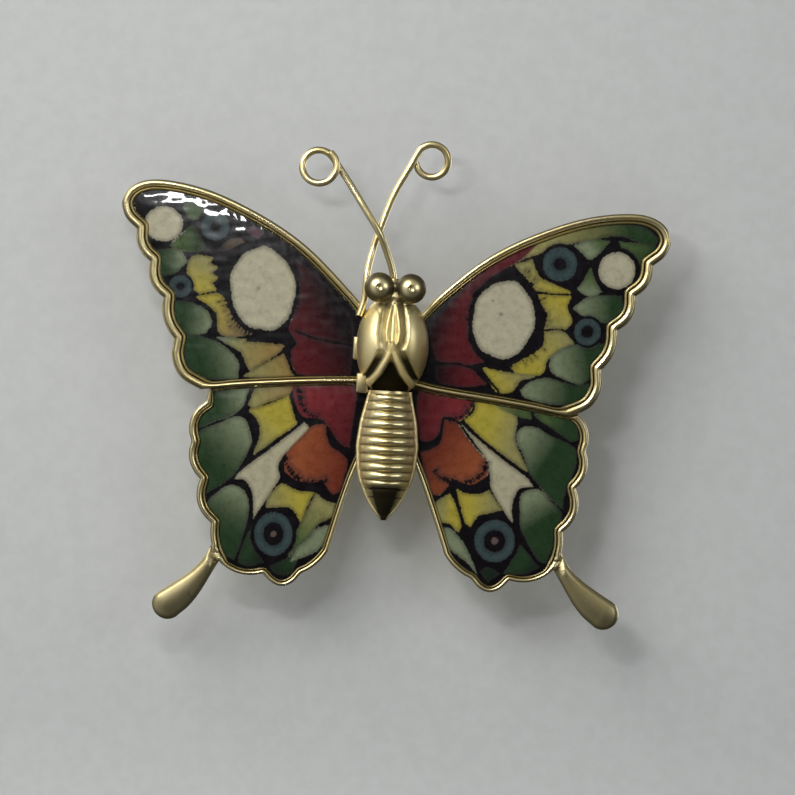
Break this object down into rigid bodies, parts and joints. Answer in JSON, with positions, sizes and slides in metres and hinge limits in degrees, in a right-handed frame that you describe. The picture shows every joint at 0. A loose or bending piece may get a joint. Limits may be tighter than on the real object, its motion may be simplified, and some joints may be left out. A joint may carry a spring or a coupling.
{
  "type": "butterfly brooch",
  "caption": "Butterfly brooch with scalloped, tailed enamel wings in gilt trays, a ribbed gilt body, looped wire antennae and a hinged pin with a turning safety catch behind.",
  "frame": {"origin": "middle of the raised land on the back of the bridge plate, the face that rests on the garment", "axes": "worn upright: +Z towards the head and antennae, -Y out of the face, +Y towards the garment and the pin, +X to the right of somebody who faces it"},
  "size_m": [0.05, 0.0092, 0.0446],
  "materials": {
    "gilt_brass": "gold-plated, polished",
    "painted_enamel": "painted in red, orange, yellow, green, blue and cream with black outlines under a clear gloss coat",
    "pin_steel": "plated, polished"
  },
  "bodies": {
    "brooch": {"forewing_tray_left": "gilt_brass", "forewing_tray_right": "gilt_brass", "hindwing_tray_left": "gilt_brass", "hindwing_tray_right": "gilt_brass", "body_shell": "gilt_brass", "bridge_plate": "gilt_brass", "body_post_upper": "gilt_brass", "body_post_lower": "gilt_brass", "antenna_left": "gilt_brass", "antenna_right": "gilt_brass", "pin_bar": "gilt_brass", "catch_housing": "gilt_brass", "forewing_enamel_left": "painted_enamel", "forewing_enamel_right": "painted_enamel", "hindwing_enamel_left": "painted_enamel", "hindwing_enamel_right": "painted_enamel", "hinge_rivet": "pin_steel"},
    "pin": {"pin_stem": "pin_steel"},
    "catch": {"catch_rotor": "gilt_brass"}
  },
  "joints": [
    {"name": "pin_swing", "type": "hinge", "parent": "brooch", "child": "pin", "pos_m": [0.0116, 0.0025, 0.005], "axis": [0, 0, -1], "range_deg": [0, 95]},
    {"name": "catch_lock", "type": "hinge", "parent": "brooch", "child": "catch", "pos_m": [-0.0115, 0.0025, 0.005], "axis": [1, 0, 0], "range_deg": [0, 135]}
  ]
}
